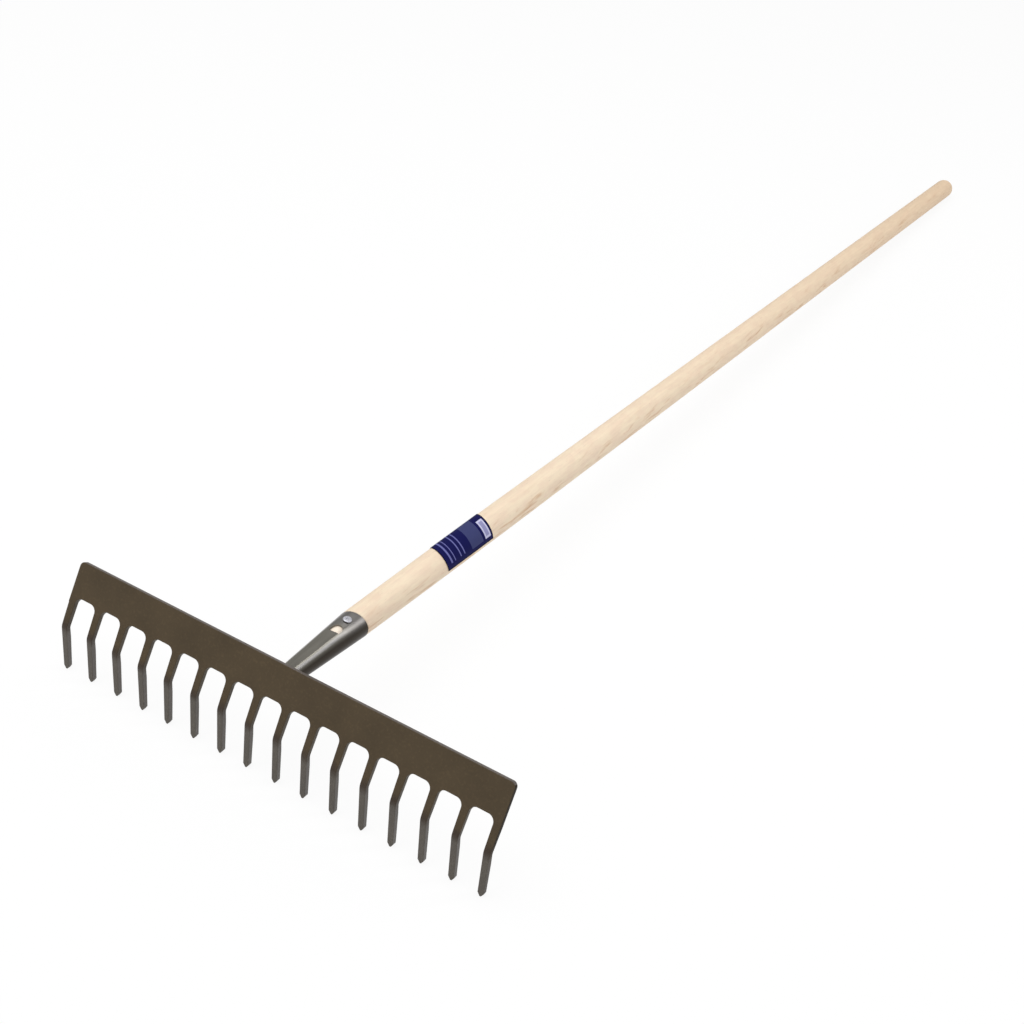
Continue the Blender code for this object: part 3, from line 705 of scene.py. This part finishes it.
# The head's coats, by the places of their materials: lacquer on the faces and the walls, painted shade on
# the end walls and a painted highlight on the plate's top edge
FACE, WALL, END_WALL, TOP_EDGE = range(4)
# How much of a face's normal puts it on the top edge, on the flat of the sheet and on an end wall
UPWARD, FLATWISE, ENDWARD = 0.5, 0.4, 0.7


def coat_of(face, end):
    """Which coat a face of the flat steel wears, by the way it faces; an end wall lies beyond the end."""
    normal, middle = face.normal, face.calc_center_median()
    if normal.y > UPWARD:
        return TOP_EDGE
    if abs(normal.z) >= FLATWISE:
        return FACE
    outward = middle.x * normal.x > 0.0 and abs(normal.x) > ENDWARD
    return END_WALL if outward and abs(middle.x) > end else WALL


class RAKE_OT_head(Operator):
    """Makes the stamped and bent head"""

    bl_idname = "rake.head"
    bl_label = "Head"

    def execute(self, context):
        head = context.scene.rake_head
        bent = BentHead(head)
        bm = flat_blank(head, bent)
        thicken(bm, head.sheet)
        rims = [e for e in bm.edges if abs(e.verts[0].co.z - e.verts[1].co.z) < GAP]
        round_off(bm, rims, head.edge_round, segments=3, affect="EDGES")
        bm.normal_update()
        end = max(vert.co.x for vert in bm.verts) - head.root_width / 2
        for face in bm.faces:
            face.material_index = coat_of(face, end)
        steps = 8
        rows = [bent.bend_start + (bent.bend_end - bent.bend_start) * n / steps for n in range(steps + 1)]
        for row in rows + [bent.bend_start - head.swell_below]:
            cut_plane(bm, (0.0, row, 0.0), (0.0, 1.0, 0.0))

        def bend(co):
            through = co.z * bent.thickness(co.y) / head.sheet
            return bent.place(co.x + tooth_aside(head, bent, co.x, co.y), co.y, through)

        place_by(bm, bend)
        shine, dull = 0.28, 0.04
        browns = (head.darker_at_bend, head.worn, shine)
        walls = (head.wall_darker_at_bend, head.wall_worn)
        # The end walls' coat is painted shade, with little gloss, and the top edge's coat is a painted
        # highlight
        coats = (
            ("stoved_lacquer_on_stamped_steel", head.lacquer, *browns),
            ("thin_lacquer_on_sheared_steel", head.wall_lacquer, *walls, shine),
            ("thick_lacquer_on_the_end_walls", head.end_wall_painted_shade, *walls, dull),
            ("rubbed_lacquer_on_the_top_edge", head.top_edge_painted_highlight, *browns),
        )
        materials = [stoved_lacquer(bent, *coat) for coat in coats]
        finish_piece("rake_head_steel", bm, materials, "rake_head")
        return {"FINISHED"}


def through_wall(bm, wall, where):
    """Gives a flat outline the depth to pass through the wall, and sets it on the socket's face."""
    bmesh.ops.translate(bm, verts=bm.verts, vec=(0.0, 0.0, -3 * wall))
    thicken(bm, 6 * wall)
    bmesh.ops.transform(bm, verts=bm.verts, matrix=where)
    return bm


def hole_cutter(socket, rolled):
    """An arched hole: on the foot's side the round's points move out to straight sides and a straight end."""
    bm = bmesh.new()
    bmesh.ops.create_circle(bm, cap_ends=True, segments=48, radius=socket.hole_radius)
    for vert in bm.verts:
        if vert.co.y < 0.0:
            to_side = socket.hole_radius / max(abs(vert.co.x), GAP)
            to_end = socket.hole_sill / -vert.co.y
            vert.co *= min(to_side, to_end)
    return through_wall(bm, socket.wall, rolled.face_frame(socket.hole_turn, socket.hole_depth))


def extrude_ring(bm, ring, where):
    """Extrudes an open ring of edges to a next one, and places its points by their turn."""
    made = bmesh.ops.extrude_edge_only(bm, edges=ring)["geom"]
    for vert in only(BMVert, made):
        vert.co = where(turn_of(vert.co))
    return only(BMEdge, made)


class RAKE_OT_socket(Operator):
    """Makes the rolled socket with its ridge, its arched hole and its screw hole"""

    bl_idname = "rake.socket"
    bl_label = "Socket"

    def execute(self, context):
        socket = context.scene.rake_socket
        screw = context.scene.rake_screw
        rolled = rolled_socket(context.scene)

        def on_wall(depth, inward, askew=False):
            def where(azimuth):
                below = depth + (rolled.mouth_depth(azimuth) if askew else 0.0)
                return round_point(azimuth, rolled.radius(azimuth, below) - inward, -below)

            return where

        bm = bmesh.new()
        bmesh.ops.create_circle(bm, cap_ends=False, segments=288, radius=socket.mouth_radius)
        place_by(bm, lambda co: on_wall(0.0, socket.lip, True)(turn_of(co)))
        first = bm.edges[:]
        ring = first
        quarter = socket.lip * (1 - sqrt(0.5))
        down = [2 * socket.skew, *rolled.pressing(), rolled.past_plate]
        # Over the lip, down the outside, up the inside and back to the lip
        for place in (
            (quarter, quarter, True),
            (socket.lip, 0.0, True),
            *((depth, 0.0) for depth in down),
            *((depth, socket.wall) for depth in reversed(down)),
            (socket.lip, socket.wall, True),
            (0.0, socket.wall - socket.lip, True),
        ):
            ring = extrude_ring(bm, ring, on_wall(*place))
        bmesh.ops.bridge_loops(bm, edges=first + ring)
        bmesh.ops.transform(bm, verts=bm.verts, matrix=rolled.frame)
        behind_plate = rolled.plate_back + GAP * rolled.plate_normal
        trimmed = cut_plane(bm, behind_plate, rolled.plate_normal, clear_inner=True)
        bmesh.ops.bridge_loops(bm, edges=only(BMEdge, trimmed))
        bmesh.ops.recalc_face_normals(bm, faces=bm.faces)
        screw_hole = bmesh.new()
        bmesh.ops.create_circle(screw_hole, cap_ends=True, segments=32, radius=screw.shank_radius + GAP)
        through_wall(screw_hole, socket.wall, rolled.face_frame(screw.turn, screw.depth))
        cut_out(bm, [hole_cutter(socket, rolled), screw_hole])
        finish_piece("socket_steel", bm, [rolled_lacquer(socket, rolled)], "socket")
        return {"FINISHED"}


class RAKE_OT_weld(Operator):
    """Makes the rippled bead that joins the socket's foot to the plate"""

    bl_idname = "rake.weld"
    bl_label = "Weld"

    def execute(self, context):
        weld = context.scene.rake_weld
        rolled = rolled_socket(context.scene)
        steps = 6

        def section(azimuth):
            """The bead's points at a turn: its corner, then over its face from the wall to the plate."""
            root = rolled.foot_point(azimuth, GAP, GAP)
            on_wall = rolled.foot_point(azimuth, GAP, GAP + weld.leg)
            outer = rolled.foot_point(azimuth, GAP + weld.leg, GAP)
            on_plate = root + weld.leg * (outer - root).normalized()
            rise = ((on_wall + on_plate) / 2 - root).normalized()
            ripple = weld.ripple * abs(sin(weld.ripples * azimuth / 2))
            points = [root]
            for step in range(steps + 1):
                share = step / steps
                bulge = 4 * share * (1 - share) * (weld.crown - weld.ripple + ripple)
                points.append(on_wall.lerp(on_plate, share) + bulge * rise)
            return points

        bm = bmesh.new()
        sides = 6 * weld.ripples
        loops = []
        for row in range(steps + 2):
            made = bmesh.ops.create_circle(bm, cap_ends=False, segments=sides, radius=1.0)["verts"]
            for vert in made:
                vert.co = section(turn_of(vert.co))[row]
            loops.append(list({edge for vert in made for edge in vert.link_edges}))
        for loop, following in zip(loops, loops[1:] + loops[:1]):
            bmesh.ops.bridge_loops(bm, edges=loop + following)
        finish_piece("socket_weld_bead", bm, [lacquered_bead(weld)], "socket_weld")
        return {"FINISHED"}


def quarter_turn(steps):
    """The cosine and sine of even turns from 0 to a right angle."""
    turns = [pi / 2 * step / steps for step in range(steps + 1)]
    return [(cos(turn), sin(turn)) for turn in turns]


def spun(profile, sides):
    """Spins a profile of radius and height about Z, its two ends on the axis."""
    bm = bmesh.new()
    verts = [bm.verts.new((radius, 0.0, height)) for radius, height in profile]
    edges = [bm.edges.new(pair) for pair in zip(verts, verts[1:])]
    bmesh.ops.spin(
        bm, geom=verts + edges, cent=(0, 0, 0), axis=(0, 0, 1), angle=2 * pi, steps=sides, use_merge=True
    )
    bmesh.ops.remove_doubles(bm, verts=bm.verts, dist=0.001 * MM)
    bmesh.ops.recalc_face_normals(bm, faces=bm.faces)
    return bm


# The cross cut's turn, and what is left of its size at its floor
RECESS_TURN = 0.5
RECESS_FLOOR = (0.45, 0.8, 1.0)


class RAKE_OT_screw(Operator):
    """Makes the pan head screw with its cross cut"""

    bl_idname = "rake.screw"
    bl_label = "Screw"

    def execute(self, context):
        screw = context.scene.rake_screw
        rolled = rolled_socket(context.scene)
        crown = screw.head_height - screw.rim_height
        flat = screw.head_radius - crown
        profile = [(0.0, -screw.length), (screw.shank_radius, screw.point - screw.length)]
        profile += [(screw.shank_radius, GAP), (screw.head_radius, GAP)]
        profile += [(flat + crown * c, screw.rim_height + crown * s) for c, s in quarter_turn(steps=8)]
        profile.append((0.0, screw.head_height))
        bm = spun(profile, sides=48)
        arms = []
        for across in (0.0, pi / 2):
            arm = bmesh.new()
            bmesh.ops.create_cube(arm, size=1.0)
            reach = (2 * screw.recess, screw.recess_width, 2 * screw.recess_depth)
            bmesh.ops.scale(arm, vec=reach, verts=arm.verts)
            floor = [vert for vert in arm.verts if vert.co.z < 0]
            bmesh.ops.scale(arm, vec=RECESS_FLOOR, verts=floor)
            bmesh.ops.translate(arm, vec=(0.0, 0.0, screw.head_height), verts=arm.verts)
            bmesh.ops.rotate(arm, matrix=Matrix.Rotation(across + RECESS_TURN, 3, "Z"), verts=arm.verts)
            arms.append(arm)
        cut_out(bm, arms)
        bmesh.ops.transform(bm, verts=bm.verts, matrix=rolled.face_frame(screw.turn, screw.depth))
        finish_piece("handle_screw_zinc", bm, [plated_zinc(screw)], "handle_screw")
        return {"FINISHED"}


def handle_reach(handle):
    """Length of the wood from the mouth to where its domed end begins."""
    return handle.length - handle.in_socket - handle.end


def handle_frame(handle, rolled):
    """The handle's own frame: its origin at the mouth, Z out to the far end, which rests on the floor."""
    slope = asin((rolled.mouth.z - handle.end) / handle_reach(handle))
    turn = Matrix.Rotation(-pi / 2 - slope, 4, "X")
    return Matrix.Translation(rolled.mouth) @ turn, slope


def handle_radius(handle, along):
    """Radius at a distance from the mouth: it swells from the neck, then tapers to the far end."""
    if along < handle.swell_at:
        ease = sin(pi / 2 * along / handle.swell_at)
        return handle.neck + (handle.swell - handle.neck) * ease
    reach = handle_reach(handle)
    return handle.swell + (handle.end - handle.swell) * (along - handle.swell_at) / (reach - handle.swell_at)


class RAKE_OT_handle(Operator):
    """Makes the turned wooden handle with its cone in the socket"""

    bl_idname = "rake.handle"
    bl_label = "Handle"

    def execute(self, context):
        handle = context.scene.rake_handle
        socket = context.scene.rake_socket
        rolled = rolled_socket(context.scene)

        def cone(depth):
            return rolled.radius(socket.flat, depth) - socket.wall - GAP

        reach = handle_reach(handle)
        inside = handle.in_socket
        profile = [(0.0, -inside), (cone(inside) - handle.nose, -inside)]
        profile += [(cone(depth), -depth) for depth in [inside - handle.nose] + rolled.pressing()[::-1]]
        profile += [(cone(socket.skew), 0.0), (cone(socket.skew), GAP), (handle.neck - handle.shoulder, GAP)]
        for c, s in quarter_turn(steps=4)[1:-1]:
            profile.append((handle.neck - handle.shoulder * (1 - s), GAP + handle.shoulder * (1 - c)))
        start = GAP + handle.shoulder
        stations = 60
        for station in range(stations):
            along = start + (reach - start) * station / stations
            profile.append((handle_radius(handle, along), along))
        profile += [(handle.end * c, reach + handle.end * s) for c, s in quarter_turn(steps=16)[:-1]]
        profile.append((0.0, reach + handle.end))
        bm = spun(profile, sides=64)
        where, slope = handle_frame(handle, rolled)
        tenon = [vert for vert in bm.verts if vert.co.z < GAP + handle.shoulder / 2]
        # The shoulder is cut as askew as the mouth
        for vert in bm.verts:
            if abs(vert.co.z) < start + GAP:
                vert.co.z -= rolled.mouth_depth(turn_of(vert.co))
        bmesh.ops.transform(bm, matrix=Matrix.Rotation(slope - socket.slope, 4, "X"), verts=tenon)
        bmesh.ops.transform(bm, verts=bm.verts, matrix=where)
        finish_piece("handle_wood", bm, [turned_wood(handle, rolled)], "handle")
        return {"FINISHED"}


class RAKE_OT_label(Operator):
    """Makes the printed label wrapped part of the way round the handle"""

    bl_idname = "rake.label"
    bl_label = "Label"

    def execute(self, context):
        label = context.scene.rake_label
        handle = context.scene.rake_handle
        rolled = rolled_socket(context.scene)
        where, _ = handle_frame(handle, rolled)
        bm = bmesh.new()
        bm.loops.layers.uv.new("UVMap")
        bmesh.ops.create_grid(bm, x_segments=72, y_segments=24, size=0.5, calc_uvs=True)

        def wrap(co):
            azimuth = label.turn_from + (label.turn_to - label.turn_from) * (co.x + 0.5)
            bow = label.bow * ((azimuth - label.bow_from) / label.bow_span) ** 2
            length = label.length + label.askew * (0.5 - co.x)
            along = label.start + length * (co.y + 0.5) + bow
            return round_point(azimuth, handle_radius(handle, along) + GAP, along)

        place_by(bm, wrap)
        bmesh.ops.recalc_face_normals(bm, faces=bm.faces)
        bmesh.ops.solidify(bm, geom=bm.faces[:], thickness=label.thickness)
        bmesh.ops.transform(bm, verts=bm.verts, matrix=where)
        finish_piece("handle_label_paper", bm, [printed_paper(label)], "handle_label")
        return {"FINISHED"}


def floor_material():
    """A pale, matt floor that the camera and the metal see nearly white, and that keeps the shadow."""
    material = bpy.data.materials.new("pale_matt_floor")
    add = empty_nodes(material)
    matt = add("BsdfPrincipled", {"Base Color": linear("f4f4f4"), "Roughness": 0.9})
    white = add("Emission", {"Color": linear("ffffff"), "Strength": 1.0})
    rays = add("LightPath").outputs
    seen = rays["Is Camera Ray"]
    for ray in ("Is Transmission Ray", "Is Glossy Ray"):
        seen = add("Math", (seen, rays[ray]), operation="MAXIMUM")
    # The rest is the lit floor, and so the shadow
    share = add("Math", (seen, 0.9), operation="MULTIPLY")
    add("OutputMaterial", {"Surface": add("MixShader", (share, matt, white))})
    return material


def area_lamp(name, at, towards, across, power):
    lamp = bpy.data.lights.new(name, "AREA")
    lamp.shape = "RECTANGLE"
    lamp.size, lamp.size_y = across
    lamp.energy = power
    holder = new_object(name, lamp)
    holder.location = at
    holder.visible_camera = False
    holder.rotation_mode = "QUATERNION"
    holder.rotation_quaternion = (Vector(towards) - Vector(at)).to_track_quat("-Z", "Y")


class RAKE_OT_studio(Operator):
    """Makes the floor, the lamps, the room's light and the camera"""

    bl_idname = "rake.studio"
    bl_label = "Studio"

    def execute(self, context):
        studio = context.scene.rake_studio
        bm = bmesh.new()
        bmesh.ops.create_grid(bm, x_segments=1, y_segments=1, size=studio.floor_half)
        floor = mesh_object("studio_floor", bm)
        floor.data.materials.append(floor_material())
        area_lamp("top_lamp", (-0.45, -0.7, 2.3), (0.0, -0.3, 0.0), (2.2, 2.2), studio.top_power)
        area_lamp("side_lamp", (1.65, 0.77, 1.45), (0.0, -0.7, 0.085), (0.6, 1.3), studio.side_power)
        world = bpy.data.worlds.new("studio_room")
        add = empty_nodes(world)
        way = add("TexCoord").outputs["Generated"]
        height = add("SeparateXYZ", (way,)).outputs["Z"]
        level = add("MapRange", (height, 0.0, 1.0, studio.walls, studio.ceiling))
        room = add("Background", {"Color": linear("ffffff"), "Strength": level})
        add("OutputWorld", {"Surface": room})
        context.scene.world = world
        camera = new_object("studio_camera", bpy.data.cameras.new("studio_camera"))
        camera.location = studio.camera_at
        camera.rotation_euler = studio.camera_turn
        camera.data.lens = studio.lens
        camera.data.clip_start = 0.05
        context.scene.camera = camera
        context.scene.view_settings.view_transform = "Standard"
        return {"FINISHED"}


# The scene's settings, with the operator that makes what each sizes
PIECES = {
    "rake_head": (RakeHeadSettings, RAKE_OT_head),
    "rake_socket": (SocketSettings, RAKE_OT_socket),
    "rake_weld": (WeldSettings, RAKE_OT_weld),
    "rake_screw": (ScrewSettings, RAKE_OT_screw),
    "rake_handle": (HandleSettings, RAKE_OT_handle),
    "rake_label": (LabelSettings, RAKE_OT_label),
    "rake_studio": (StudioSettings, RAKE_OT_studio),
}


class RAKE_PT_pieces(Panel):
    """Lists the rake's pieces and the studio"""

    bl_idname = "RAKE_PT_pieces"
    bl_label = "Garden rake"
    bl_space_type = "VIEW_3D"
    bl_region_type = "UI"
    bl_category = "Rake"

    def draw(self, context):
        for name, (group, operator) in PIECES.items():
            box = self.layout.box()
            box.operator(operator.bl_idname)
            for size_or_colour in group.__annotations__:
                box.prop(getattr(context.scene, name), size_or_colour)


CLASSES = [item for pair in PIECES.values() for item in pair] + [RAKE_PT_pieces]


def register():
    for item in CLASSES:
        bpy.utils.register_class(item)
    for name, (group, _) in PIECES.items():
        setattr(bpy.types.Scene, name, PointerProperty(type=group))


def unregister():
    for name in PIECES:
        delattr(bpy.types.Scene, name)
    for item in reversed(CLASSES):
        bpy.utils.unregister_class(item)


def main():
    register()
    bpy.ops.rake.head()
    bpy.ops.rake.socket()
    bpy.ops.rake.weld()
    bpy.ops.rake.screw()
    bpy.ops.rake.handle()
    bpy.ops.rake.label()
    bpy.ops.rake.studio()


if __name__ == "__main__":
    main()
